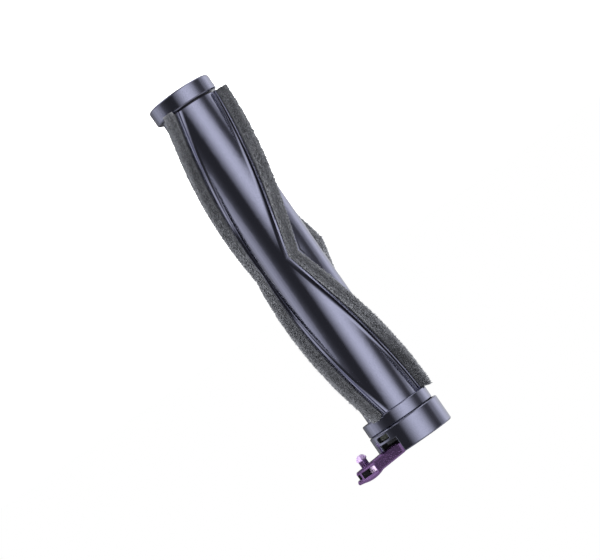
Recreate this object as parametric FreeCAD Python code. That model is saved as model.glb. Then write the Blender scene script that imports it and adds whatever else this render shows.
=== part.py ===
import FreeCAD, Part
import math
import os
from FreeCAD import Vector

# Roller brush of a robot vacuum, in millimetres. +Z runs along the roller's axis and the roller
# stands on its drive end, with the origin in the mouth of the drive socket. +X points the way the
# release lever reaches.

# Fits
press_gap = 0.02
slide_gap = 0.1
running_gap = 0.05
face_gap = 0.3
cut_past = 1.0
rib_overlap = 0.2
same_place = 0.001

# Barrel
barrel_length = 188.0
barrel_radius = 15.8
barrel_bore = 11.0
twist_per_mm = 0.877
channel_count = 3
channel_angle = 23.2

# Channel, measured across (half widths) and out from the axis (heights)
lip_radius = 17.7
lip_half_angle = 13.2
lip_corner = 0.35
wall_sweep = 7.2
wall_lean = 0.8
wall_flats = 6
ledge_height = 0.5
ledge_run = 3.4
slot_half_width = 2.6
undercut_half_width = 3.5
undercut_floor = 14.9
undercut_top = 16.05

# Pile strip
tape_thickness = 1.0
pile_radius = 23.9
pile_flare = 0.35
pile_corner = 1.3

# Keys that turn the barrel
key_count = 3
key_width = 3.0
key_height = 0.9
key_length = 9.0
key_root = 1.0

# Drive collar
collar_radius = 18.4
collar_height = 8.7
collar_edge = 0.6
collar_wall = 2.4
groove_width = 0.9
groove_radius = 14.6
spigot_length = 12.4
core_rib_count = 6
core_rib_width = 1.4
core_inner_wall = 1.5
core_floor = 2.6

# Drive socket
socket_radius = 8.6
socket_length = 14.0
socket_bore = 6.0
socket_depth = 12.0
socket_slot_width = 2.4
socket_slot_reach = 7.4
socket_key_width = 2.0
socket_key_reach = 9.4
spigot_floor = 2.0
spigot_vent = 3.0

# End ring
ring_radius = 19.5
ring_height = 7.0
ring_edge = 0.4
neck_radius = 17.7
neck_wall = 1.4
neck_height = 1.4
seat_wall = 2.0
shoulder_height = 1.6
shoulder_width = 1.5
seat_sink = 0.6
seat_rim = 0.6

# Ball bearing
bearing_radius = 9.5
bearing_bore = 3.0
bearing_width = 6.0
race_wall = 1.6
ball_count = 7
ball_radius = 1.7
cage_wall = 0.9
cage_height = 4.4
shield_thickness = 0.3
shield_recess = 0.25
shield_step = 0.4

# Axle and what is on it
axle_flange_radius = 4.4
axle_flange_height = 2.4
axle_grip = 6.5
axle_edge = 0.4
washer_thickness = 0.5
washer_radius = 4.5
clip_thickness = 0.7
clip_radius = 4.3
clip_groove = 0.5
clip_opening = 70.0
axle_tail = 1.2

# End cap
cap_radius = 20.75
cap_height = 14.5
cap_wall = 1.6
cap_edge = 0.5
cap_offset = 0.83
boss_wall = 2.6
cap_rib_width = 1.2
cap_rib_angles = (110.0, 145.0, 180.0, 215.0, 250.0)

# Window and notch in the cap's wall
window_bottom = 1.5
window_height = 2.9
window_start = 33.7
window_end = 57.5
window_corner = 0.6
notch_start = 7.7
notch_step = 13.4
notch_end = 17.2
notch_floor = 7.3
notch_deep_floor = 5.7
shelf_setback = 1.2

# Dust seal
seal_height = 2.7
seal_width = 3.6

# Lever
lever_depth = 16.0
lever_head_depth = 10.4
lever_taper_start = 9.0
lever_taper_end = 12.6
lever_pivot_x = 4.0
lever_pivot_height = 11.7
lever_hub_radius = 2.3
lever_bevel = 0.9
pin_radius = 1.0
pin_overhang = 2.9
pocket_wall = 1.5
pocket_side_gap = 0.3
stop_gap = 0.15

# Lever outline near the cap, as reach from the roller's axis and height over the cap's lower rim
under_start = (11.5, 8.5)
arm_top = (8.6, 15.2)

# Lever outline near the tip, as distance back from the tip and height over the cap's lower rim
tip_reach = 37.6
tip_half = 1.05
tip_top = (1.3, 16.65)
bulge_end = (3.6, 17.1)
bulge_crest = (8.6, 17.8)
bulge_start = (15.1, 16.35)
under_end = (3.0, 10.3)
block_end = 1.85
block_corner = 1.0
block_top = 14.45

# Lever pockets and ramp, as distances back from the tip, in from a side and over the cap's rim
ramp_start = 12.2
ramp_end = 8.5
ramp_depth = 3.4
divider_start = 4.3
divider_end = 3.35
pocket_web = 2.0
pocket_low = 11.8
pocket_high = 15.05
end_pocket_drop = 0.6

# Catch under the lever
catch_back = 8.45
catch_half_width = 2.35
catch_shoulder = 6.6
catch_root = 0.6
catch_stations = ((0.0, 2.35), (-0.45, 3.05), (-1.5, 2.75), (-2.5, 2.0), (-3.1, 1.2))

# Places along the axis
barrel_bottom = collar_height + groove_width
barrel_top = barrel_bottom + barrel_length
barrel_middle = barrel_bottom + barrel_length / 2
ring_top = barrel_top + ring_height
neck_top = ring_top + neck_height
bearing_bottom = barrel_top - seat_sink
bearing_middle = bearing_bottom + bearing_width / 2
bearing_top = bearing_bottom + bearing_width
cap_bottom = ring_top + face_gap
cap_top = cap_bottom + cap_height
boss_bottom = bearing_top + axle_flange_height
axle_top = boss_bottom + axle_grip
washer_bottom = bearing_bottom - washer_thickness
clip_bottom = washer_bottom - clip_thickness
axle_bottom = clip_bottom - axle_tail
seal_bottom = neck_top + face_gap
web_bottom = seal_bottom + seal_height
pivot = Vector(lever_pivot_x, 0, cap_bottom + lever_pivot_height)
up = Vector(0, 0, 1)


def polar(radius, degrees, z=0.0):
    turn = math.radians(degrees)
    return Vector(radius * math.cos(turn), radius * math.sin(turn), z)


def cylinder(radius, bottom, top, x=0.0):
    return Part.makeCylinder(radius, top - bottom, Vector(x, 0, bottom), up)


def tube(outer, inner, bottom, top, x=0.0):
    return cylinder(outer, bottom, top, x).cut(cylinder(inner, bottom, top, x))


def block(x0, x1, y0, y1, z0, z1):
    return Part.makeBox(x1 - x0, y1 - y0, z1 - z0, Vector(x0, y0, z0))


def turned(points):
    """A solid turned about the roller's axis from its (radius, height) outline."""
    corners = [Vector(radius, 0, z) for radius, z in points]
    outline = Part.makePolygon(corners + corners[:1])
    return Part.Face(outline).revolve(Vector(0, 0, 0), up, 360)


def spokes(count, width, inner, outer, bottom, top, start=0.0):
    """Radial ribs from one radius to another, evenly spaced."""
    ribs = []
    for number in range(count):
        rib = block(inner, outer, -width / 2, width / 2, bottom, top)
        rib.rotate(Vector(0, 0, 0), up, start + number * 360 / count)
        ribs.append(rib)
    return ribs


def line(a, b):
    return Part.LineSegment(a, b).toShape()


def chain(points):
    """Straight edges from each point to the next."""
    return [line(a, b) for a, b in zip(points, points[1:])]


def arc(a, middle, b):
    return Part.Arc(a, middle, b).toShape()


def hollow(a, corner, b):
    """Short flats along the curve that runs from one point to another inside their corner."""
    points = []
    for number in range(wall_flats + 1):
        t = number / wall_flats
        points.append(a * (1 - t) ** 2 + corner * (2 * t * (1 - t)) + b * t ** 2)
    return points


def twisted(section):
    """The half of a chevron below its point: a section swept up the axis while it turns.

    A helix beside the path leads the turn, and the section is a function of its turn in degrees
    and its height.
    """
    half = barrel_length / 2
    path = Part.Wire([line(Vector(0, 0, barrel_bottom), Vector(0, 0, barrel_middle))])
    guide = Part.makeHelix(360 / twist_per_mm, half, lip_radius)
    guide.translate(up * barrel_bottom)
    sweep = Part.BRepOffsetAPI.MakePipeShell(path)
    sweep.setAuxiliarySpine(Part.Wire(guide.Edges), True, 0)
    sweep.add(section(-twist_per_mm * half, barrel_bottom))
    sweep.build()
    sweep.makeSolid()
    return sweep.shape()


def across(width, height, turn, z):
    """A point given across a channel and out from the axis, with the channel at an angle."""
    local = Vector(height, width, z)
    spin = FreeCAD.Rotation(up, turn)
    return spin.multVec(local)


def channel_edges(turn, z):
    """One raised channel of the barrel's section: hollow ledge, steep wall, lip, undercut slot, and
    the same again to the other side."""
    corner_sweep = math.degrees(lip_corner / lip_radius)
    slot_sweep = math.degrees(math.asin(slot_half_width / lip_radius))
    foot = lip_half_angle + wall_sweep
    ledge = lip_half_angle + wall_lean
    sides = []
    for side in (-1, 1):
        foot_point = polar(barrel_radius, turn + side * foot, z)
        bend_point = polar(barrel_radius, turn + side * (ledge + ledge_run), z)
        ledge_point = polar(barrel_radius + ledge_height, turn + side * ledge, z)
        sides.append(hollow(foot_point, bend_point, ledge_point) + [
            polar(lip_radius - lip_corner, turn + side * lip_half_angle, z),
            polar(lip_radius, turn + side * (lip_half_angle - corner_sweep), z),
            polar(lip_radius, turn + side * slot_sweep, z),
            across(side * slot_half_width, undercut_top, turn, z),
            across(side * undercut_half_width, undercut_top, turn, z),
            across(side * undercut_half_width, undercut_floor, turn, z),
        ])
    return chain(sides[0] + sides[1][::-1])


def barrel_section(turn, z):
    foot = lip_half_angle + wall_sweep
    spacing = 360 / channel_count
    edges = []
    for number in range(channel_count):
        centre = channel_angle + turn + number * spacing
        edges += channel_edges(centre, z)
        start = polar(barrel_radius, centre + foot, z)
        middle = polar(barrel_radius, centre + spacing / 2, z)
        end = polar(barrel_radius, centre + spacing - foot, z)
        edges.append(arc(start, middle, end))
    return Part.Wire(edges)


def keys(radius, bottom, top, gap):
    """Ribs that stand on a spigot, or with a gap the keyways that take them."""
    outer = radius + key_height + gap
    return spokes(key_count, key_width + 2 * gap, radius - key_root, outer, bottom, top, channel_angle)


def barrel():
    half = twisted(barrel_section)
    other = half.mirror(Vector(0, 0, barrel_middle), up)
    body = half.fuse(other)
    body = body.cut(cylinder(barrel_bore, barrel_bottom, barrel_top))
    key_room = key_length + slide_gap
    body = body.cut(keys(barrel_bore, barrel_bottom, barrel_bottom + key_room, slide_gap))
    return body.cut(keys(barrel_bore, barrel_top - key_room, barrel_top, slide_gap))


def strip_section(turn, z):
    """Woven base in the undercut, with the pile standing through the slot."""
    tape_half = undercut_half_width - slide_gap
    tape_low = undercut_floor + slide_gap / 2
    tape_high = tape_low + tape_thickness
    neck = slot_half_width - slide_gap
    wide = neck + pile_flare
    bend = pile_corner * (1 - math.sqrt(0.5))
    right = [
        (tape_half, tape_low),
        (tape_half, tape_high),
        (neck, tape_high),
        (neck, lip_radius),
        (wide, pile_radius - pile_corner),
        (wide - bend, pile_radius - bend),
        (wide - pile_corner, pile_radius),
    ]
    left = [(-width, height) for width, height in right[::-1]]
    points = [across(width, height, turn, z) for width, height in right + left]
    return Part.Wire(chain(points + points[:1]))


def pile_strip(number, upper):
    """One length of pile from the chevron's point to a barrel end."""
    half = twisted(strip_section)
    if upper:
        half = half.mirror(Vector(0, 0, barrel_middle), up)
    half.rotate(Vector(0, 0, 0), up, channel_angle + number * 360 / channel_count)
    return half


def drive_collar():
    hub = socket_radius + press_gap
    spigot = barrel_bore - press_gap
    core_inner = spigot + core_inner_wall
    core_outer = collar_radius - collar_wall
    core_top = collar_height - core_floor
    spigot_top = barrel_bottom + spigot_length
    seat_top = socket_length
    body = turned([
        (hub, 0),
        (core_inner, 0),
        (core_inner, core_top),
        (core_outer, core_top),
        (core_outer, 0),
        (collar_radius - collar_edge, 0),
        (collar_radius, collar_edge),
        (collar_radius, collar_height - collar_edge),
        (collar_radius - collar_edge, collar_height),
        (groove_radius, collar_height),
        (groove_radius, barrel_bottom),
        (spigot, barrel_bottom),
        (spigot, spigot_top),
        (hub, spigot_top),
        (hub, seat_top + spigot_floor),
        (spigot_vent, seat_top + spigot_floor),
        (spigot_vent, seat_top),
        (hub, seat_top),
    ])
    inner = core_inner - rib_overlap
    outer = core_outer + rib_overlap
    body = body.fuse(spokes(core_rib_count, core_rib_width, inner, outer, 0, core_top))
    body = body.fuse(keys(spigot, barrel_bottom, barrel_bottom + key_length, 0))
    width = socket_key_width + 2 * press_gap
    reach = socket_key_reach + press_gap
    keyways = spokes(key_count, width, socket_bore, reach, 0, seat_top)
    return body.cut(keyways).cut(cylinder(hub, 0, seat_top)).removeSplitter()


def drive_socket():
    root = socket_radius - rib_overlap
    body = cylinder(socket_radius, 0, socket_length)
    body = body.fuse(spokes(key_count, socket_key_width, root, socket_key_reach, 0, socket_length))
    body = body.cut(cylinder(socket_bore, 0, socket_depth))
    between = 180 / key_count
    slots = spokes(key_count, socket_slot_width, 0, socket_slot_reach, 0, socket_depth, between)
    return body.cut(slots)


def end_ring():
    spigot = barrel_bore - press_gap
    seat = bearing_radius + press_gap
    seat_outer = bearing_radius + seat_wall
    shoulder = bearing_radius - shoulder_width
    shoulder_bottom = bearing_bottom - shoulder_height
    spigot_bottom = barrel_top - spigot_length
    spigot_inner = spigot - seat_wall
    core_bottom = barrel_top + core_floor
    neck_inner = neck_radius - neck_wall
    seat_top = bearing_top + seat_rim
    body = turned([
        (spigot_inner, spigot_bottom),
        (spigot, spigot_bottom),
        (spigot, barrel_top),
        (ring_radius - ring_edge, barrel_top),
        (ring_radius, barrel_top + ring_edge),
        (ring_radius, ring_top - ring_edge),
        (ring_radius - ring_edge, ring_top),
        (neck_radius, ring_top),
        (neck_radius, neck_top),
        (neck_inner, neck_top),
        (neck_inner, core_bottom),
        (seat_outer, core_bottom),
        (seat_outer, seat_top),
        (seat, seat_top),
        (seat, bearing_bottom),
        (shoulder, bearing_bottom),
        (shoulder, shoulder_bottom),
        (spigot_inner, shoulder_bottom),
    ])
    inner = seat_outer - rib_overlap
    outer = neck_inner + rib_overlap
    body = body.fuse(spokes(core_rib_count, core_rib_width, inner, outer, core_bottom, seat_top))
    return body.fuse(keys(spigot, barrel_top - key_length, barrel_top, 0)).removeSplitter()


def ball_track():
    """The round groove that the balls run in, as the ring that is cut from both races."""
    pitch = (bearing_radius + bearing_bore) / 2
    return Part.makeTorus(pitch, ball_radius + running_gap, Vector(0, 0, bearing_middle), up)


def bearing_outer_race():
    inner = bearing_radius - race_wall
    step = inner + shield_step
    deep = shield_recess + shield_thickness + press_gap
    race = tube(bearing_radius, inner, bearing_bottom, bearing_top)
    race = race.cut(cylinder(step, bearing_bottom, bearing_bottom + deep))
    race = race.cut(cylinder(step, bearing_top - deep, bearing_top))
    return race.cut(ball_track())


def bearing_inner_race():
    return tube(bearing_bore + race_wall, bearing_bore, bearing_bottom, bearing_top).cut(ball_track())


def ball_places():
    pitch = (bearing_radius + bearing_bore) / 2
    return [polar(pitch, number * 360 / ball_count, bearing_middle) for number in range(ball_count)]


def bearing_balls():
    return Part.makeCompound([Part.makeSphere(ball_radius, place) for place in ball_places()])


def bearing_cage():
    pitch = (bearing_radius + bearing_bore) / 2
    half = cage_height / 2
    ring = tube(pitch + cage_wall / 2, pitch - cage_wall / 2, bearing_middle - half, bearing_middle + half)
    pockets = []
    for place in ball_places():
        outward = Vector(place.x, place.y, 0)
        start = Vector(0, 0, place.z)
        pockets.append(Part.makeCylinder(ball_radius + running_gap, bearing_radius, start, outward))
    return ring.cut(pockets)


def bearing_shield(upper):
    outer = bearing_radius - race_wall + shield_step - press_gap
    inner = bearing_bore + race_wall + 2 * running_gap
    bottom = bearing_bottom + shield_recess
    if upper:
        bottom = bearing_top - shield_recess - shield_thickness
    return tube(outer, inner, bottom, bottom + shield_thickness)


def axle():
    shaft = bearing_bore - press_gap
    groove = shaft - clip_groove
    return turned([
        (0, axle_bottom),
        (shaft - axle_edge, axle_bottom),
        (shaft, axle_bottom + axle_edge),
        (shaft, clip_bottom),
        (groove, clip_bottom),
        (groove, washer_bottom),
        (shaft, washer_bottom),
        (shaft, bearing_top),
        (axle_flange_radius, bearing_top),
        (axle_flange_radius, boss_bottom),
        (shaft, boss_bottom),
        (shaft, axle_top - axle_edge),
        (shaft - axle_edge, axle_top),
        (0, axle_top),
    ])


def axle_washer():
    return tube(washer_radius, bearing_bore + slide_gap, washer_bottom, bearing_bottom)


def retaining_ring():
    inner = bearing_bore - press_gap - clip_groove + press_gap
    ring = tube(clip_radius, inner, clip_bottom + press_gap, washer_bottom - press_gap)
    reach = 2 * clip_radius
    half = math.radians(clip_opening / 2)
    corners = [
        Vector(0, 0, clip_bottom),
        Vector(reach, -reach * math.tan(half), clip_bottom),
        Vector(reach, reach * math.tan(half), clip_bottom),
    ]
    mouth = Part.Face(Part.makePolygon(corners + corners[:1])).extrude(up * clip_thickness)
    return ring.cut(mouth)


def dust_seal():
    outer = cap_radius - cap_wall - press_gap
    return tube(outer, outer - seal_width, seal_bottom, web_bottom, -cap_offset)


def cap_window(side):
    """The prism that cuts the window, with its lower corners cut off."""
    low = cap_bottom + window_bottom
    high = low + window_height
    start = cap_radius * math.sin(math.radians(window_start)) - cap_offset
    end = cap_radius * math.sin(math.radians(window_end)) - cap_offset
    outline = [
        (start, low),
        (end - window_corner, low),
        (end, low + window_corner),
        (end, high - window_corner),
        (end - window_corner, high),
        (start, high),
    ]
    corners = [Vector(x, 0, z) for x, z in outline]
    face = Part.Face(Part.makePolygon(corners + corners[:1]))
    return face.extrude(Vector(0, side * 2 * cap_radius, 0))


def under_line(x, drop=0.0):
    """Height of the lever's underside at a reach, or of a line parallel to it."""
    run = tip_reach - under_end[0] - under_start[0]
    slope = (under_end[1] - under_start[1]) / run
    return cap_bottom + under_start[1] + slope * (x - under_start[0]) - drop


def prism_along_y(points, start, end):
    corners = [Vector(x, start, z) for x, z in points]
    face = Part.Face(Part.makePolygon(corners + corners[:1]))
    return face.extrude(Vector(0, end - start, 0))


def end_cap():
    inner = cap_radius - cap_wall
    wide = 2 * cap_radius
    shelf = cap_bottom + notch_floor
    deep = cap_bottom + notch_deep_floor
    body = cylinder(cap_radius, cap_bottom, cap_top, -cap_offset)
    rims = [edge for edge in body.Edges if edge.Closed and len(edge.Vertexes) == 1]
    body = body.makeChamfer(cap_edge, rims)
    pocket_half = lever_depth / 2 + pocket_side_gap
    step = prism_along_y([
        (notch_start, cap_top + cut_past),
        (notch_start, shelf),
        (notch_step, shelf),
        (notch_step, deep),
        (notch_end, deep),
        (notch_end, under_line(notch_end, stop_gap)),
        (wide, under_line(wide, stop_gap)),
        (wide, cap_top + cut_past),
    ], -wide, pocket_half)
    shelf_front = tube(wide, cap_radius - shelf_setback, deep, shelf, -cap_offset)
    shelf_room = shelf_front.common(block(notch_start, notch_step, -wide, 0, deep, shelf))
    body = body.cut(step).cut(shelf_room)
    lower_room = cylinder(inner, cap_bottom, web_bottom, -cap_offset)
    upper_room = cylinder(inner, web_bottom, cap_top - cap_wall, -cap_offset)
    notch_wall = pocket_half + pocket_wall
    near_notch = block(notch_start - cap_wall, wide, -wide, notch_wall, web_bottom, cap_top)
    body = body.cut(lower_room).cut(upper_room.cut(near_notch))
    boss_radius = bearing_bore + boss_wall
    boss_top = cap_top - cap_wall
    inside = [cylinder(boss_radius, boss_bottom, boss_top)]
    for angle in cap_rib_angles:
        rib = block(0, cap_radius, -cap_rib_width / 2, cap_rib_width / 2, web_bottom, boss_top)
        rib.rotate(Vector(0, 0, 0), up, angle)
        reach = inner + rib_overlap
        inside.append(rib.common(cylinder(reach, web_bottom, boss_top, -cap_offset)))
    pocket_back = pivot.x - lever_hub_radius - pocket_side_gap
    pocket_bottom = cap_bottom + under_start[1] - pocket_side_gap
    inside.append(block(
        pocket_back - pocket_wall, notch_start - cap_wall / 2,
        -notch_wall, notch_wall,
        pocket_bottom - pocket_wall, boss_top,
    ))
    body = body.fuse(inside)
    body = body.cut(block(
        pocket_back, notch_start + cut_past,
        -pocket_half, pocket_half,
        pocket_bottom, cap_top + cut_past,
    ))
    body = body.cut(cylinder(bearing_bore, boss_bottom - cut_past, axle_top + slide_gap))
    body = body.cut(hinge_rod(pin_radius, pin_overhang))
    return body.cut([cap_window(-1), cap_window(1)]).removeSplitter()


def hinge_rod(radius, overhang):
    """A rod on the lever's hinge line that stands out past each side of the lever."""
    half = lever_depth / 2 + overhang
    return Part.makeCylinder(radius, 2 * half, Vector(pivot.x, -half, pivot.z), Vector(0, 1, 0))


def lever_outline():
    """The lever's side view, from its hub along the underside, round the tip and back."""
    def near_cap(point):
        return Vector(point[0], 0, cap_bottom + point[1])

    def near_tip(back, height):
        return Vector(tip_reach - back, 0, cap_bottom + height)
    hub_low = Vector(pivot.x, 0, pivot.z - lever_hub_radius)
    hub_back = Vector(pivot.x - lever_hub_radius, 0, pivot.z)
    hub_high = Vector(pivot.x, 0, pivot.z + lever_hub_radius)
    bend = block_corner * (1 - math.sqrt(0.5))
    block_x = tip_reach - block_end
    block_low = Vector(block_x - block_corner, 0, under_line(block_x - block_corner))
    block_side = Vector(block_x, 0, block_low.z + block_corner)
    block_bend = Vector(block_x - bend, 0, block_low.z + bend)
    block_step = near_tip(block_end, block_top)
    tip_low = near_tip(tip_half, block_top)
    tip_nose = near_tip(0, block_top + tip_half)
    return Part.Wire([
        arc(hub_high, hub_back, hub_low),
        line(hub_low, near_cap(under_start)),
        line(near_cap(under_start), block_low),
        arc(block_low, block_bend, block_side),
        line(block_side, block_step),
        line(block_step, tip_low),
        arc(tip_low, tip_nose, near_tip(*tip_top)),
        line(near_tip(*tip_top), near_tip(*bulge_end)),
        arc(near_tip(*bulge_end), near_tip(*bulge_crest), near_tip(*bulge_start)),
        line(near_tip(*bulge_start), near_cap(arm_top)),
        line(near_cap(arm_top), hub_high),
    ])


def hexagon(half_width, z):
    """A six-sided section that shows an edge, not a flat, to either side of the lever."""
    reach = half_width / math.cos(math.radians(30))
    middle = Vector(tip_reach - catch_back, 0, z)
    corners = [middle + polar(reach, 30 + 60 * number) for number in range(6)]
    return Part.makePolygon(corners + corners[:1])


def lever_plan():
    """The lever seen from above, wide at its hub and narrower at its head, as a tall prism."""
    half = lever_depth / 2
    head_half = lever_head_depth / 2
    back = pivot.x - lever_hub_radius - cut_past
    taper_end = tip_reach - lever_taper_end
    tip = tip_reach + cut_past
    sides = [(back, half), (lever_taper_start, half), (taper_end, head_half), (tip, head_half)]
    mirrored = [(x, -y) for x, y in sides[::-1]]
    corners = [Vector(x, y, cap_bottom) for x, y in sides + mirrored]
    return Part.Face(Part.makePolygon(corners + corners[:1])).extrude(up * 2 * cap_height)


def side_rims(body):
    """The edges where the lever's upright sides meet its underside, tip, top and hub."""
    sides = [face for face in body.Faces if abs(face.normalAt(0, 0).y) > 0.9]
    edges = [edge for face in sides for edge in face.Edges]
    return [edge for edge in edges if sum(edge.isSame(other) for other in edges) == 1]


def release_lever():
    wide = lever_depth / 2 + cut_past
    outline = lever_outline()
    outline.translate(Vector(0, -wide, 0))
    body = Part.Face(outline).extrude(Vector(0, 2 * wide, 0))
    body = body.common(lever_plan())
    body = body.makeChamfer(lever_bevel, side_rims(body))
    low = cap_bottom + pocket_low
    high = cap_bottom + pocket_high
    for side in (-1, 1):
        face = side * lever_head_depth / 2
        inner = side * pocket_web / 2
        ramp = [
            Vector(tip_reach - ramp_start, face, 0),
            Vector(tip_reach - ramp_end, face - side * ramp_depth, 0),
            Vector(tip_reach - ramp_end, inner, 0),
            Vector(tip_reach - divider_start, inner, 0),
            Vector(tip_reach - divider_start, face, 0),
        ]
        cut = Part.Face(Part.makePolygon(ramp + ramp[:1])).extrude(up * (high - low))
        cut.translate(up * low)
        body = body.cut(cut)
        faces = sorted((face, inner))
        end_high = high - end_pocket_drop
        end_start = tip_reach - divider_end
        body = body.cut(block(end_start, tip_reach, faces[0], faces[1], low, end_high))
    shoulder = cap_bottom + catch_shoulder
    stations = [hexagon(width, shoulder + rise) for rise, width in catch_stations]
    head = Part.makeLoft(stations, True, True)
    neck = Part.Face(hexagon(catch_half_width, shoulder)).extrude(up * (low - catch_root - shoulder))
    body = body.fuse([neck, head])
    return body.cut(hinge_rod(pin_radius + running_gap, 0)).removeSplitter()


def lever_pin():
    return hinge_rod(pin_radius - press_gap / 2, pin_overhang)


pieces = {
    "barrel": barrel(),
    "drive_collar": drive_collar(),
    "drive_socket": drive_socket(),
    "end_ring": end_ring(),
    "bearing_outer_race": bearing_outer_race(),
    "bearing_inner_race": bearing_inner_race(),
    "bearing_balls": bearing_balls(),
    "bearing_cage": bearing_cage(),
    "bearing_shield_inner": bearing_shield(False),
    "bearing_shield_outer": bearing_shield(True),
    "axle": axle(),
    "axle_washer": axle_washer(),
    "retaining_ring": retaining_ring(),
    "dust_seal": dust_seal(),
    "end_cap": end_cap(),
    "release_lever": release_lever(),
    "lever_pin": lever_pin(),
}
for number, letter in enumerate("abc"):
    pieces["pile_strip_" + letter + "_lower"] = pile_strip(number, False)
    pieces["pile_strip_" + letter + "_upper"] = pile_strip(number, True)

os.makedirs("parts", exist_ok=True)
for name, shape in pieces.items():
    print(name, len(shape.Solids), "solids, valid", shape.isValid(), "volume", round(shape.Volume, 2))
    shape.exportStep("parts/" + name + ".step")
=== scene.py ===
import math

import bpy
import numpy as np
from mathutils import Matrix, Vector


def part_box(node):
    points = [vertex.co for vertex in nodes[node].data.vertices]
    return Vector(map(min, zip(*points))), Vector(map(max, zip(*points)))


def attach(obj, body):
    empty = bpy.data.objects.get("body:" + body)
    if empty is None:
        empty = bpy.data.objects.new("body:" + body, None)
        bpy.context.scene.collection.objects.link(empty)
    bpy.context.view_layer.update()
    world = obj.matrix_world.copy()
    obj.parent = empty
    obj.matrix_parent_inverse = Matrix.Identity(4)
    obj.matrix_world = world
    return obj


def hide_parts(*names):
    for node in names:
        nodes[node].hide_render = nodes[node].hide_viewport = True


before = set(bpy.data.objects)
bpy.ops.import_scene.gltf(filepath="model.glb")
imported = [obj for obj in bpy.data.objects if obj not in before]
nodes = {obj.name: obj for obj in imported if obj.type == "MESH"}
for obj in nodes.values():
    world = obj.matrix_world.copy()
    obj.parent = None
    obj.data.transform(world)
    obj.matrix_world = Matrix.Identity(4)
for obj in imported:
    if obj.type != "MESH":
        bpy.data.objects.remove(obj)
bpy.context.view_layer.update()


# Studio
# The roller stands on its drive end on a white floor. Soft light comes from tall panels all
# round it, painted on the sky by their direction, and from two lamps above.
world = bpy.data.worlds.new("studio_panels")
bpy.context.scene.world = world
world.use_nodes = True
sky = world.node_tree
sky.nodes.clear()


def link_up(tree, *pairs):
    """Joins sockets of a node tree, each pair from an output to an input."""
    for start, end in pairs:
        tree.links.new(start, end)


def math_node(tree, operation, first, second=None, clamp=False):
    """A Math node on sockets or numbers, and its result's socket."""
    node = tree.nodes.new("ShaderNodeMath")
    node.operation = operation
    node.use_clamp = clamp
    for place, value in enumerate((first, second)):
        if isinstance(value, bpy.types.NodeSocket):
            tree.links.new(value, node.inputs[place])
        elif value is not None:
            node.inputs[place].default_value = value
    return node.outputs[0]


def ramp(tree, factor, stops):
    """A Color Ramp read at a factor, with its stops as (place, (red, green, blue))."""
    node = tree.nodes.new("ShaderNodeValToRGB")
    node.color_ramp.interpolation = "LINEAR"
    elements = node.color_ramp.elements
    while len(elements) < len(stops):
        elements.new(0.5)
    for element, (place, colour) in zip(elements, stops):
        element.position = place
        element.color = (*colour, 1.0)
    tree.links.new(factor, node.inputs["Fac"])
    return node.outputs["Color"]


# Light by the bearing in degrees round the roller, with 0 towards the camera and 90 to the side
# away from the lever: the panels at the roller's own height, and what slants in above and below.
panel_strength = 1.0
panel_stops = (
    (-180, 0.06), (-168, 0.08), (-155, 0.24), (-132, 0.32), (-124, 0.58), (-114, 0.60), (-108, 0.80),
    (-99, 0.64), (-90, 0.66), (-86, 0.46), (-78, 0.44), (-73, 0.17), (-60, 0.08), (-48, 0.050),
    (-21, 0.045), (-14, 0.26), (-4, 0.55), (4, 0.82), (14, 1.08), (24, 1.22), (36, 1.14), (46, 0.92),
    (56, 0.56), (64, 0.22), (74, 0.09), (87, 0.10), (93, 0.36), (102, 0.42), (109, 0.70),
    (124, 1.15), (137, 0.95), (160, 0.70),
)
slant_stops = (
    (-180, 0.10), (-155, 0.30), (-125, 0.40), (-108, 0.03), (0, 0.03), (14, 0.75), (48, 0.75),
    (66, 0.08), (90, 0.08), (108, 0.50), (140, 0.70), (165, 0.30),
)
panel_tint = (0.97, 0.98, 1.0)
heading = sky.nodes.new("ShaderNodeTexCoord")
parts = sky.nodes.new("ShaderNodeSeparateXYZ")
link_up(sky, (heading.outputs["Generated"], parts.inputs[0]))
west = math_node(sky, "MULTIPLY", parts.outputs["X"], -1.0)
south = math_node(sky, "MULTIPLY", parts.outputs["Y"], -1.0)
bearing = math_node(sky, "ARCTAN2", west, south)
share = math_node(sky, "MULTIPLY_ADD", bearing, 1 / (2 * math.pi))
share.node.inputs[2].default_value = 0.5
height = math_node(sky, "MULTIPLY_ADD", parts.outputs["Z"], 0.5)
height.node.inputs[2].default_value = 0.5


def round_the_roller(stops):
    """Light by the bearing, from its level at some bearings in degrees."""
    return ramp(sky, share, [
        ((angle + 180) / 360, tuple(level * part for part in panel_tint)) for angle, level in stops
    ])


def layered(factor, first, second):
    """One sky light over another, by a factor from 0 to 1."""
    node = sky.nodes.new("ShaderNodeMix")
    node.data_type = "RGBA"
    link_up(
        sky,
        (factor, node.inputs["Factor"]),
        (first, node.inputs["A"]),
        (second, node.inputs["B"]),
    )
    return node.outputs["Result"]


# These ramps are read at a direction's height, from 0 straight down to 1 straight up.
none, all_of_it = (0.0,) * 3, (1.0,) * 3
light_from_below = (1.0, 1.0, 1.02)
past_panels = ramp(sky, height, [
    (0.33, all_of_it), (0.41, none), (0.55, none), (0.61, all_of_it),
])
past_slants = ramp(sky, height, [
    (0.10, all_of_it), (0.18, none), (0.80, none), (0.90, all_of_it),
])
above_and_below = ramp(sky, height, [
    (0.01, (0.12,) * 3), (0.05, light_from_below), (0.40, light_from_below), (0.60, (0.35,) * 3),
])
slanting = layered(past_panels, round_the_roller(panel_stops), round_the_roller(slant_stops))
sky_light = layered(past_slants, slanting, above_and_below)
studio = sky.nodes.new("ShaderNodeBackground")
studio.inputs["Strength"].default_value = panel_strength
white = sky.nodes.new("ShaderNodeBackground")
white.inputs["Strength"].default_value = 1.0
white.inputs["Color"].default_value = (1.0, 1.0, 1.0, 1.0)
ray = sky.nodes.new("ShaderNodeLightPath")
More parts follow.
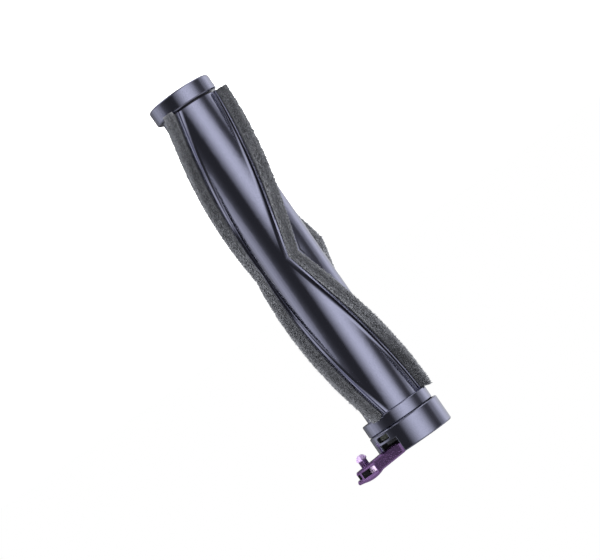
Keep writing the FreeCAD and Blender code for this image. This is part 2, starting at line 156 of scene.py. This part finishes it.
seen = math_node(
    sky, "ADD", ray.outputs["Is Camera Ray"], ray.outputs["Is Transmission Ray"], clamp=True,
)
either = sky.nodes.new("ShaderNodeMixShader")
sky_out = sky.nodes.new("ShaderNodeOutputWorld")
link_up(
    sky,
    (sky_light, studio.inputs["Color"]),
    (seen, either.inputs["Fac"]),
    (studio.outputs[0], either.inputs[1]),
    (white.outputs[0], either.inputs[2]),
    (either.outputs[0], sky_out.inputs["Surface"]),
)

floor_reach = 4.0
paper_grey = 0.85
paper_glow = 0.90
floor_mesh = bpy.data.meshes.new("floor")
floor_mesh.from_pydata(
    [(-floor_reach, -floor_reach, 0), (floor_reach, -floor_reach, 0),
     (floor_reach, floor_reach, 0), (-floor_reach, floor_reach, 0)],
    [], [(0, 1, 2, 3)],
)
floor = bpy.data.objects.new("floor", floor_mesh)
bpy.context.scene.collection.objects.link(floor)
floor.visible_glossy = False
paper = bpy.data.materials.new("floor_paper")
paper.use_nodes = True
paper_tree = paper.node_tree
paper_tree.nodes.clear()
matt = paper_tree.nodes.new("ShaderNodeBsdfDiffuse")
matt.inputs["Color"].default_value = (paper_grey, paper_grey, paper_grey, 1.0)
glow = paper_tree.nodes.new("ShaderNodeEmission")
paper_ray = paper_tree.nodes.new("ShaderNodeLightPath")
both = paper_tree.nodes.new("ShaderNodeAddShader")
paper_out = paper_tree.nodes.new("ShaderNodeOutputMaterial")
shown = math_node(
    paper_tree, "ADD", paper_ray.outputs["Is Camera Ray"], paper_ray.outputs["Is Transmission Ray"],
    clamp=True,
)
link_up(
    paper_tree,
    (math_node(paper_tree, "MULTIPLY", shown, paper_glow), glow.inputs["Strength"]),
    (matt.outputs[0], both.inputs[0]),
    (glow.outputs[0], both.inputs[1]),
    (both.outputs[0], paper_out.inputs["Surface"]),
)
floor_mesh.materials.append(paper)


def lamp(name, place, aim, size, power):
    """A square soft lamp at a place, turned to what it lights."""
    light = bpy.data.lights.new(name, "AREA")
    light.size = size
    light.energy = power
    stand = bpy.data.objects.new(name, light)
    bpy.context.scene.collection.objects.link(stand)
    stand.location = place
    back = np.array(place) - np.array(aim)
    stand.rotation_euler = (
        math.atan2(math.hypot(back[0], back[1]), back[2]), 0.0, math.atan2(back[0], -back[1])
    )
    stand.visible_camera = False
    stand.visible_glossy = False


roller_middle = (0.0, 0.0, 0.11)
lamp_size = 0.5
lamp("key_lamp", (-1.00, 0.10, 0.80), roller_middle, lamp_size, 34.0)
lamp("fill_lamp", (1.00, -0.20, 0.60), roller_middle, lamp_size, 26.0)

# The camera looks square across the roller from far off, turned so that the cap is low right.
camera_data = bpy.data.cameras.new("camera")
camera_data.lens = 148.5
camera_data.sensor_width = 36.0
camera_data.clip_end = 20.0
camera = bpy.data.objects.new("camera", camera_data)
bpy.context.scene.collection.objects.link(camera)
camera_place = np.array([0.0026, -1.287, 0.1654])
camera_aim = np.array([0.0026, 0.0, 0.116])
ahead = (camera_aim - camera_place) / np.linalg.norm(camera_aim - camera_place)
rough_up = np.array([-0.5671, 0.0, -0.8237])
above = rough_up - ahead * (rough_up @ ahead)
above = above / np.linalg.norm(above)
turn = np.eye(4)
turn[:3, 0] = np.cross(ahead, above)
turn[:3, 1] = above
turn[:3, 2] = -ahead
turn[:3, 3] = camera_place
camera.matrix_world = turn.T.tolist()
bpy.context.scene.camera = camera
bpy.context.scene.view_settings.view_transform = "Standard"


# Moulded shell: barrel, drive collar, end ring and end cap
# Polished lilac paint with fine metal flake, which shows as faint grain. The cap's hollow and
# the groove over the collar are painted dark, as painted shade where shade falls in them.
def fresh_material(name):
    """A node material and its tree, its Principled shader and its Object coordinates."""
    material = bpy.data.materials.new(name)
    material.use_nodes = True
    tree = material.node_tree
    shader = tree.nodes["Principled BSDF"]
    place = tree.nodes.new("ShaderNodeTexCoord").outputs["Object"]
    return material, tree, shader, place


def noise(tree, place, scale, detail=2.0, roughness=0.5):
    """A Noise Texture's value read at a place."""
    node = tree.nodes.new("ShaderNodeTexNoise")
    node.inputs["Scale"].default_value = scale
    node.inputs["Detail"].default_value = detail
    node.inputs["Roughness"].default_value = roughness
    tree.links.new(place, node.inputs["Vector"])
    return node.outputs["Fac"]


def span(tree, value, low, high):
    """A value from 0 to 1 brought to a range."""
    node = tree.nodes.new("ShaderNodeMapRange")
    node.inputs["To Min"].default_value = low
    node.inputs["To Max"].default_value = high
    tree.links.new(value, node.inputs["Value"])
    return node.outputs["Result"]


def bump(tree, value, strength, depth, normal=None):
    """A Bump node on a height, with its normal's socket."""
    node = tree.nodes.new("ShaderNodeBump")
    node.inputs["Strength"].default_value = strength
    node.inputs["Distance"].default_value = depth
    tree.links.new(value, node.inputs["Height"])
    if normal is not None:
        tree.links.new(normal, node.inputs["Normal"])
    return node.outputs["Normal"]


def round_edges(tree, radius):
    """A Bevel node, which catches light along an edge as its small rounding does."""
    node = tree.nodes.new("ShaderNodeBevel")
    node.samples = 6
    node.inputs["Radius"].default_value = radius
    return node.outputs["Normal"]


def dress(material, *names):
    """Puts a material on CAD nodes by their names."""
    for name in names:
        for slot in nodes[name].material_slots:
            slot.material = material


def inside_box(tree, place, low, high):
    """1 where a place lies inside a box and 0 outside it."""
    parts = tree.nodes.new("ShaderNodeSeparateXYZ")
    tree.links.new(place, parts.inputs[0])
    tests = []
    for axis, start, end in zip("XYZ", low, high):
        tests.append(math_node(tree, "GREATER_THAN", parts.outputs[axis], start))
        tests.append(math_node(tree, "LESS_THAN", parts.outputs[axis], end))
    result = tests[0]
    for test in tests[1:]:
        result = math_node(tree, "MULTIPLY", result, test)
    return result


def sum_of_squares(tree, first, second):
    """Two values, each squared, and added."""
    return math_node(
        tree, "ADD", math_node(tree, "POWER", first, 2.0), math_node(tree, "POWER", second, 2.0),
    )


def within(tree, place, centre, radius):
    """1 where a place lies nearer than a radius to an upright axis and 0 outside it."""
    parts = tree.nodes.new("ShaderNodeSeparateXYZ")
    tree.links.new(place, parts.inputs[0])
    offset = math_node(tree, "SUBTRACT", parts.outputs["X"], centre)
    squares = sum_of_squares(tree, offset, parts.outputs["Y"])
    return math_node(tree, "LESS_THAN", squares, radius ** 2)


def mixed(tree, kind, factor, first, second):
    """A Mix node from a socket to a constant, and its result's socket."""
    node = tree.nodes.new("ShaderNodeMix")
    node.data_type = kind
    node.inputs["B"].default_value = second
    tree.links.new(factor, node.inputs["Factor"])
    tree.links.new(first, node.inputs["A"])
    return node.outputs["Result"]


def painted(name, dark, light, roughness, metal, edge, zones):
    """Metallic paint from a dark to a light tone of its flake, with zones of painted shade and
    painted highlight that have no metal in them. A zone is a function that gives 1 inside it, its
    colour and its roughness."""
    material, tree, shader, place = fresh_material(name)
    flake = noise(tree, place, 2600.0, 1.0)
    cloud = noise(tree, place, 60.0, 3.0)
    colour = ramp(tree, flake, [(0.30, dark), (0.70, light)])
    rough = span(tree, cloud, *roughness)
    shine = metal
    for inside, zone_colour, zone_rough in zones:
        mask = inside(tree, place)
        colour = mixed(tree, "RGBA", mask, colour, (*zone_colour, 1.0))
        rough = mixed(tree, "FLOAT", mask, rough, zone_rough)
        shine = math_node(tree, "MULTIPLY", math_node(tree, "SUBTRACT", 1.0, mask), shine)
    link_up(
        tree,
        (colour, shader.inputs["Base Color"]),
        (rough, shader.inputs["Roughness"]),
        (shine, shader.inputs["Metallic"]),
        (bump(tree, cloud, 0.05, 0.0004, round_edges(tree, edge)), shader.inputs["Normal"]),
    )
    shader.inputs["Coat Weight"].default_value = 0.10
    shader.inputs["Coat Roughness"].default_value = 0.06
    return material


lilac_dark, lilac_light = (0.310, 0.316, 0.430), (0.370, 0.377, 0.505)
lilac_roughness = (0.13, 0.19)
# A near-black colour, painted as shade in the cap's hollow and in the lever's pockets.
painted_shade_black = (0.006, 0.006, 0.007)
# A dark colour painted as shade in the groove over the collar and the barrel's hollow, inside the
# radius below.
groove_shade_colour = (0.030, 0.030, 0.045)
groove_shade_radius = 0.0152
# Painted shade in the cap starts this far inside its outer face and its end face.
cap_shade_inset = 0.0012
end_face_shade_inset = 0.0003
cap_low, cap_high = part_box("end_cap")
cap_radius = (cap_high[0] - cap_low[0]) / 2


def cap_hollow_shade(tree, place):
    """1 in the cap's hollow, a little inside its outer face and under its end face: the place of its
    painted shade.
    """
    hollow = within(tree, place, cap_low[0] + cap_radius, cap_radius - cap_shade_inset)
    high = (cap_high[0], cap_high[1], cap_high[2] - end_face_shade_inset)
    return math_node(tree, "MULTIPLY", hollow, inside_box(tree, place, cap_low, high))


def groove_shade_mask(tree, place):
    """1 in the groove over the collar, and in the hollow of the barrel and its ends, where shade is
    painted dark.
    """
    return within(tree, place, 0.0, groove_shade_radius)


dress(
    painted(
        "shell_metallic_lilac", lilac_dark, lilac_light, lilac_roughness, 1.0, 0.00035,
        # The groove over the collar is painted dark as shade.
        [(groove_shade_mask, groove_shade_colour, 0.50)],
    ),
    "barrel", "drive_collar", "end_ring",
)
dress(
    painted(
        "cap_metallic_lilac", lilac_dark, lilac_light, lilac_roughness, 1.0, 0.0006,
        # The cap's hollow is painted near-black as shade.
        [(cap_hollow_shade, painted_shade_black, 0.55)],
    ),
    "end_cap",
)


# Pile strips
# Six lengths of soft grey pile on a woven base, slid into the barrel's three channels and met in
# a point at the middle. The pile is thousands of single fibres that stand out of a dense body.
barrel_low, barrel_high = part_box("barrel")
barrel_bottom, barrel_top = barrel_low[2], barrel_high[2]
point_height = (barrel_bottom + barrel_top) / 2
twist_per_metre = math.radians(877.0)
strip_angles = {"a": 23.2, "b": 143.2, "c": 263.2}
body_right = np.array([
    (3.40, 14.95), (3.40, 15.95), (2.48, 16.00), (2.10, 17.70), (2.08, 18.2), (2.15, 19.1),
    (2.32, 20.2), (2.38, 21.1), (2.32, 21.9), (2.12, 22.5), (1.75, 22.90), (1.25, 23.12),
    (0.65, 23.22), (0.0, 23.25),
]) / 1000
body_outline = np.vstack([body_right, (body_right * (-1, 1))[-2::-1]])
pile_first = 4
pile_last = len(body_outline) - 5
body_stations = 110
body_roughness = 0.00011
body_half_width = 0.0024
# How far the pile's lower and upper end stands past the barrel's, over the collar and the ring.
spills = {"a": (0.0016, 0.0011), "b": (0.0006, 0.0012), "c": (-0.0002, 0.0011)}
over_rim = 0.0003
collar_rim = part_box("drive_collar")[1][0] + over_rim
ring_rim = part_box("end_ring")[1][0] + over_rim
spill_reach = 0.004
spill_rise = 0.0022
# Tufts on the body. They are shorter towards the pile's crown.
tufts_along = 150
tufts_across = 17
fibres_in_tuft = 4
tuft_length = (0.0007, 0.0020)
tuft_scatter = (0.20, 0.10, 0.18)
crown_start = 0.0195
crown_rise = 0.0038
crown_shortening = 0.50
# Single fibres in a tuft.
fibre_thickness = 0.00011
root_depth = 0.0002
root_spread = 1.2
tip_spread = 0.75
tip_scatter = 0.00018
knee_scatter = 0.00006


def surface(name, points, faces):
    """A mesh object from an array of points and arrays of faces, each array of one corner count."""
    mesh = bpy.data.meshes.new(name)
    corners = np.concatenate([part.ravel() for part in faces])
    counts = np.concatenate([np.full(len(part), part.shape[1]) for part in faces])
    starts = np.concatenate([[0], np.cumsum(counts)[:-1]])
    mesh.vertices.add(len(points))
    mesh.vertices.foreach_set("co", points.astype(np.float32).ravel())
    mesh.loops.add(len(corners))
    mesh.loops.foreach_set("vertex_index", corners.astype(np.int32))
    mesh.polygons.add(len(counts))
    mesh.polygons.foreach_set("loop_start", starts.astype(np.int32))
    mesh.polygons.foreach_set("use_smooth", np.ones(len(counts), bool))
    mesh.update(calc_edges=True)
    piece = bpy.data.objects.new(name, mesh)
    bpy.context.scene.collection.objects.link(piece)
    return piece


def rings_to_faces(rings, around):
    """Quads between closed rings of points that follow each other, numbered ring by ring."""
    ring = np.arange(rings - 1)[:, None] * around
    step = np.arange(around)[None, :]
    following = (step + 1) % around
    quads = np.stack([
        ring + step, ring + following, ring + around + following, ring + around + step,
    ], -1)
    return quads.reshape(-1, 4)


def on_strip(across, out, height, angle):
    """Where a point of a strip's section stands: the section turns with its height, by the twist
    times its distance from the point of the chevron."""
    turned = math.radians(angle) - twist_per_metre * np.abs(height - point_height)
    return np.stack([
        out * np.cos(turned) - across * np.sin(turned),
        out * np.sin(turned) + across * np.cos(turned),
        height,
    ], -1)


def spilled(height, out, upper, spill):
    """Height moved past the barrel's end, as far as a point stands over the collar or the ring."""
    end, rim, sign = (barrel_top, ring_rim, 1) if upper else (barrel_bottom, collar_rim, -1)
    near = np.clip(1 - np.abs(height - end) / spill_reach, 0, 1) ** 2
    clear = np.clip((out - rim) / spill_rise, 0, 1)
    return height + sign * spill * near * clear * (2 - clear)


def pile_body(angle, upper, spill, seed):
    """The dense body: the section's outline at even heights, each point moved in or out by noise
    that is smoothed along the strip, with flat ends. Its tone paints shade and light: darkest at the
    root as painted shade, lightest just above it as painted light, and a little darker where the
    fibres cover it as painted shade."""
    low, high = (point_height, barrel_top) if upper else (barrel_bottom, point_height)
    draw = np.random.default_rng(seed)
    heights = np.linspace(low, high, body_stations)[:, None]
    uneven = draw.normal(0, body_roughness, (body_stations + 4, len(body_outline)))
    uneven = sum(uneven[lag:lag + body_stations] for lag in range(5)) / 2.2
    uneven[:, :pile_first] = 0
    uneven[:, pile_last + 1:] = 0
    across = body_outline[None, :, 0] * (1 + uneven / body_half_width)
    out = body_outline[None, :, 1] + uneven
    points = on_strip(across, out, spilled(heights + 0 * out, out, upper, spill), angle)
    # Painted shade at the root, painted light just above it and painted shade under the fibres, by
    # distance from the axis.
    tones = np.interp(out, (0.0172, 0.0184, 0.0205), (0.10, 0.42, 0.30))
    around = len(body_outline)
    side = rings_to_faces(body_stations, around)
    first = np.arange(around)[None, :]
    last = (np.arange(around)[::-1] + (body_stations - 1) * around)[None, :]
    return points.reshape(-1, 3), [side[:, ::-1], first, last], tones.ravel()


def outline_at(share):
    """Points and outward directions at shares of the way round the pile's part of the outline."""
    pile = body_outline[pile_first:pile_last + 1]
    steps = np.linalg.norm(np.diff(pile, axis=0), axis=1)
    reach = np.concatenate([[0], np.cumsum(steps)])
    at = share * reach[-1]
    across = np.interp(at, reach, pile[:, 0])
    out = np.interp(at, reach, pile[:, 1])
    along = np.diff(pile, axis=0) / steps[:, None]
    middles = (reach[1:] + reach[:-1]) / 2
    turn_across = np.interp(at, middles, along[:, 0])
    turn_out = np.interp(at, middles, along[:, 1])
    return across, out, turn_out, -turn_across


def pile_fibres(angle, upper, spill, seed):
    """One tuft to each cell of a jittered grid over the body. A tuft leaves along a mix of the
    body's outward direction and the way out from the axis, tilted by noise, and its fibres close up
    towards its end. A fibre is a three-sided spike with one bend. Its faces are listed clockwise,
    because on_strip turns a section's (across, out, height) into its mirror image."""
    low, high = (point_height, barrel_top) if upper else (barrel_bottom, point_height)
    draw = np.random.default_rng(seed)
    tufts = tufts_along * tufts_across
    cell = np.arange(tufts)
    height = low + (high - low) * (cell // tufts_across + draw.random(tufts)) / tufts_along
    share = (cell % tufts_across + draw.random(tufts)) / tufts_across
    across, out, away_across, away_out = outline_at(share)
    way = np.stack([
        0.55 * away_across + tuft_scatter[0] * draw.normal(size=tufts),
        0.30 * np.abs(away_out) + 0.70 + tuft_scatter[1] * draw.normal(size=tufts),
        tuft_scatter[2] * draw.normal(size=tufts),
    ], -1)
    way = way / np.linalg.norm(way, axis=1)[:, None]
    middle = np.stack([across, out, spilled(height, out, upper, spill)], -1)
    shorter = 1 - crown_shortening * np.clip((out - crown_start) / crown_rise, 0, 1)
    tuft_end = middle + way * (shorter * draw.uniform(*tuft_length, tufts))[:, None]
    tuft_tone = draw.uniform(0.0, 1.0, tufts)

    count = tufts * fibres_in_tuft
    owner = np.repeat(cell, fibres_in_tuft)
    spread_along = draw.uniform(-0.5, 0.5, count) * (high - low) / tufts_along
    spread_round = draw.uniform(-0.5, 0.5, count) / tufts_across
    root_height = np.clip(height[owner] + root_spread * spread_along, low, high)
    root_share = np.clip(share[owner] + root_spread * spread_round, 0, 1)
    across, out, away_across, away_out = outline_at(root_share)
    root = np.stack([
        across - root_depth * away_across,
        out - root_depth * away_out,
        spilled(root_height, out, upper, spill),
    ], -1)
    tip = tuft_end[owner] + tip_spread * (root - middle[owner])
    tip = tip + draw.normal(0, tip_scatter, (count, 3))
    knee = 0.45 * root + 0.55 * tip + draw.normal(0, knee_scatter, (count, 3))
    rise = tip - root
    rise = rise / np.linalg.norm(rise, axis=1)[:, None]
    side = np.cross(rise, draw.normal(size=(count, 3)))
    side = side / np.linalg.norm(side, axis=1)[:, None]
    other = np.cross(rise, side)
    thick = fibre_thickness * draw.uniform(0.8, 1.25, (count, 1))
    rings = []
    for centre, width in ((root, thick), (knee, 0.85 * thick)):
        for corner in range(3):
            turned = 2 * math.pi * corner / 3
            rings.append(centre + width * (side * math.cos(turned) + other * math.sin(turned)))
    local = np.stack([*rings, tip], 1)
    points = on_strip(local[..., 0], local[..., 1], local[..., 2], angle)
    base = (np.arange(count) * 7)[:, None]
    quads = [base + np.array([[b, a, a + 3, b + 3]]) for a, b in ((0, 1), (1, 2), (2, 0))]
    caps = [base + np.array([[3 + b, 3 + a, 6]]) for a, b in ((0, 1), (1, 2), (2, 0))]
    feet = [base + np.array([[0, 1, 2]])]
    # Fibre tone varies at random by tuft and fibre. On top of that, fibres are painted darker at the
    # root than at the tip as shade, and those low on the body are lifted as painted light.
    tone = 0.60 * tuft_tone[owner] + 0.40 * draw.uniform(0.0, 1.0, count)
    root_painted_light = 0.12 * np.clip((0.0208 - out) / 0.0022, 0, 1)
    spans = 3 * [(0.22, 0.12)] + 3 * [(0.30, 0.30)] + [(0.38, 0.44)]
    tones = np.stack([root_painted_light + least + more * tone for least, more in spans], 1)
    return points.reshape(-1, 3), np.vstack(quads), np.vstack(caps + feet), tones.ravel()


pile, tree, shader, place = fresh_material("pile_soft_grey")
tuft = tree.nodes.new("ShaderNodeAttribute")
tuft.attribute_name = "tone"
patch = noise(tree, place, 1200.0, 3.0)
mottled = math_node(tree, "MULTIPLY_ADD", patch, 0.36)
link_up(tree, (tuft.outputs["Fac"], mottled.node.inputs[2]))
link_up(
    tree,
    (ramp(tree, math_node(tree, "SUBTRACT", mottled, 0.18), [
        (0.0, (0.009, 0.009, 0.010)),
        (0.25, (0.060, 0.062, 0.070)),
        (0.55, (0.164, 0.170, 0.190)),
        (1.0, (0.350, 0.362, 0.394)),
    ]), shader.inputs["Base Color"]),
    (bump(tree, noise(tree, place, 5200.0, 2.0), 0.5, 0.00015), shader.inputs["Normal"]),
)
shader.inputs["Roughness"].default_value = 0.95
shader.inputs["Specular IOR Level"].default_value = 0.2
shader.inputs["Sheen Weight"].default_value = 0.25
shader.inputs["Sheen Roughness"].default_value = 0.5

for number, (letter, angle) in enumerate(strip_angles.items()):
    for upper in (False, True):
        seed = 10 * number + upper
        spill = spills[letter][upper]
        body_points, body_faces, body_shade_and_light = pile_body(angle, upper, spill, seed)
        fibre_points, quads, triangles, fibre_tones = pile_fibres(angle, upper, spill, seed + 100)
        shift = len(body_points)
        name = "pile_{}_{}".format(letter, "upper" if upper else "lower")
        strip = surface(
            name,
            np.vstack([body_points, fibre_points]),
            body_faces + [quads + shift, triangles + shift],
        )
        tone = strip.data.attributes.new("tone", "FLOAT", "POINT")
        tone.data.foreach_set("value", np.concatenate([body_shade_and_light, fibre_tones]).astype(np.float32))
        strip.data.materials.append(pile)
        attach(strip, "roller")
        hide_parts("pile_strip_{}_{}".format(letter, "upper" if upper else "lower"))


# Drive socket
# Matte black moulding with a keyed hole, pressed into the drive collar. The machine's drive dog
# enters the hole and turns the roller.
black, tree, shader, place = fresh_material("socket_matte_black")
grain = noise(tree, place, 900.0, 4.0)
link_up(
    tree,
    (
        ramp(tree, grain, [(0.3, (0.018, 0.018, 0.020)), (0.7, (0.034, 0.034, 0.037))]),
        shader.inputs["Base Color"],
    ),
    (span(tree, grain, 0.42, 0.60), shader.inputs["Roughness"]),
    (bump(tree, grain, 0.35, 0.0001, round_edges(tree, 0.0003)), shader.inputs["Normal"]),
)
dress(black, "drive_socket")


# Ball bearing, axle, washer, retaining ring and lever pin
# Turned and ground steel. Grinding runs round the axis, so its fine lines do too, and the balls
# are polished. The cage that spaces them is natural nylon.
def steel(name, colour, roughness, lines):
    """Steel whose fine lines run round the roller's axis: noise read at distance from the axis and
    height, which are the same all the way round."""
    material, tree, shader, place = fresh_material(name)
    parts = tree.nodes.new("ShaderNodeSeparateXYZ")
    flat = tree.nodes.new("ShaderNodeCombineXYZ")
    link_up(tree, (place, parts.inputs[0]))
    squares = sum_of_squares(tree, parts.outputs["X"], parts.outputs["Y"])
    link_up(
        tree,
        (math_node(tree, "SQRT", squares), flat.inputs["X"]),
        (parts.outputs["Z"], flat.inputs["Z"]),
    )
    ring = noise(tree, flat.outputs[0], lines, 3.0)
    dark = tuple(0.82 * part for part in colour)
    link_up(
        tree,
        (ramp(tree, ring, [(0.35, dark), (0.65, colour)]), shader.inputs["Base Color"]),
        (span(tree, ring, roughness * 0.8, roughness * 1.3), shader.inputs["Roughness"]),
        (bump(tree, ring, 0.2, 0.00005, round_edges(tree, 0.0002)), shader.inputs["Normal"]),
    )
    shader.inputs["Metallic"].default_value = 1.0
    return material


dress(
    steel("bearing_ground_steel", (0.60, 0.60, 0.62), 0.24, 4000.0),
    "bearing_outer_race", "bearing_inner_race", "bearing_shield_inner", "bearing_shield_outer",
)
dress(steel("ball_polished_steel", (0.75, 0.75, 0.77), 0.08, 300.0), "bearing_balls")
dress(
    steel("axle_turned_steel", (0.55, 0.55, 0.57), 0.32, 2600.0),
    "axle", "axle_washer", "retaining_ring", "lever_pin",
)

nylon, tree, shader, place = fresh_material("cage_natural_nylon")
haze = noise(tree, place, 500.0, 3.0)
link_up(
    tree,
    (
        ramp(tree, haze, [(0.3, (0.52, 0.48, 0.38)), (0.7, (0.64, 0.60, 0.50))]),
        shader.inputs["Base Color"],
    ),
    (span(tree, haze, 0.40, 0.55), shader.inputs["Roughness"]),
)
dress(nylon, "bearing_cage")


# Dust seal
# A ring of dark olive felt pressed into the cap, over the gap where the end ring turns. Its dull
# side shows through the cap's window.
seal_low, seal_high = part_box("dust_seal")
seal_rings = 260
seal_outline = 24
seal_width = 0.0036
seal_unevenness = 0.05


def felt_ring(low, high, seed):
    """A rectangle with round corners carried round the seal's own axis. The corners come from the
    cosine and sine of a turn raised to a small power, and each point is moved in a little by noise,
    so that the face is fibrous."""
    draw = np.random.default_rng(seed)
    centre = (low[0] + high[0]) / 2
    outer = (high[0] - low[0]) / 2
    inner = outer - seal_width
    middle, half = (outer + inner) / 2, (outer - inner) / 2
    height, tall = (low[2] + high[2]) / 2, (high[2] - low[2]) / 2
    turn = np.linspace(0, 2 * math.pi, seal_outline, endpoint=False)
    power = 0.35
    out = np.sign(np.cos(turn)) * np.abs(np.cos(turn)) ** power
    rise = np.sign(np.sin(turn)) * np.abs(np.sin(turn)) ** power
    fuzz = 1 - seal_unevenness * draw.random((seal_rings, seal_outline))
    reach = middle + half * out[None, :] * fuzz
    bearing = np.linspace(0, 2 * math.pi, seal_rings, endpoint=False)[:, None]
    points = np.stack([
        centre + reach * np.cos(bearing),
        reach * np.sin(bearing),
        height + tall * rise[None, :] * fuzz,
    ], -1)
    ring = np.arange(seal_rings)[:, None] * seal_outline
    following = (np.arange(seal_rings)[:, None] + 1) % seal_rings * seal_outline
    step = np.arange(seal_outline)[None, :]
    after = (step + 1) % seal_outline
    quads = np.stack([ring + step, following + step, following + after, ring + after], -1)
    return points.reshape(-1, 3), quads.reshape(-1, 4)


felt_points, felt_quads = felt_ring(seal_low, seal_high, 7)
felt_piece = surface("dust_felt", felt_points, [felt_quads])
felt, tree, shader, place = fresh_material("felt_dark_olive")
lint = noise(tree, place, 1500.0, 5.0, 0.7)
link_up(
    tree,
    (
        ramp(tree, lint, [(0.3, (0.006, 0.007, 0.005)), (0.7, (0.016, 0.018, 0.014))]),
        shader.inputs["Base Color"],
    ),
    (bump(tree, lint, 0.8, 0.0003), shader.inputs["Normal"]),
)
shader.inputs["Roughness"].default_value = 0.95
shader.inputs["Sheen Weight"].default_value = 0.2
felt_piece.data.materials.append(felt)
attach(felt_piece, "end_cap")
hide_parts("dust_seal")


# Release lever
# One moulding with purple metallic paint, hinged on a steel pin in the cap. The pockets' floors
# are painted near-black as shade, and the ramps and the catch's head are painted lighter as
# highlights.
lever_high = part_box("release_lever")[1]


def on_lever(back, half_width, down):
    """A zone's function: 1 in a box on the lever. The box lies between two distances back from the
    lever's tip and two distances down from its top, and as wide to either side of its middle."""
    low = (lever_high[0] - back[0], -half_width, lever_high[2] - down[1])
    high = (lever_high[0] - back[1], half_width, lever_high[2] - down[0])
    return lambda tree, place: inside_box(tree, place, low, high)


# The ramps into the pockets are painted light pink as a highlight.
ramp_highlight = on_lever((0.0122, 0.0085), 0.00517, (0.00285, 0.00592))
# The catch's head is painted lighter as a highlight.
catch_head_highlight = on_lever((0.0123, 0.0046), 0.0038, (0.01115, 0.01440))
# The pockets' floors are painted near-black as shade.
pocket_shade = on_lever((0.0090, 0.0018), 0.0022, (0.00272, 0.00605))
purple_dark, purple_light = (0.300, 0.166, 0.400), (0.308, 0.172, 0.410)
purple_roughness = (0.14, 0.18)
dress(
    painted(
        "lever_metallic_purple", purple_dark, purple_light, purple_roughness, 0.90, 0.0005,
        [
            # Painted highlight on the ramps.
            (ramp_highlight, (0.66, 0.52, 0.72), 0.35),
            # Painted highlight on the catch's head.
            (catch_head_highlight, (0.42, 0.30, 0.52), 0.35),
            # Painted shade on the pockets' floors.
            (pocket_shade, painted_shade_black, 0.6),
        ],
    ),
    "release_lever",
)
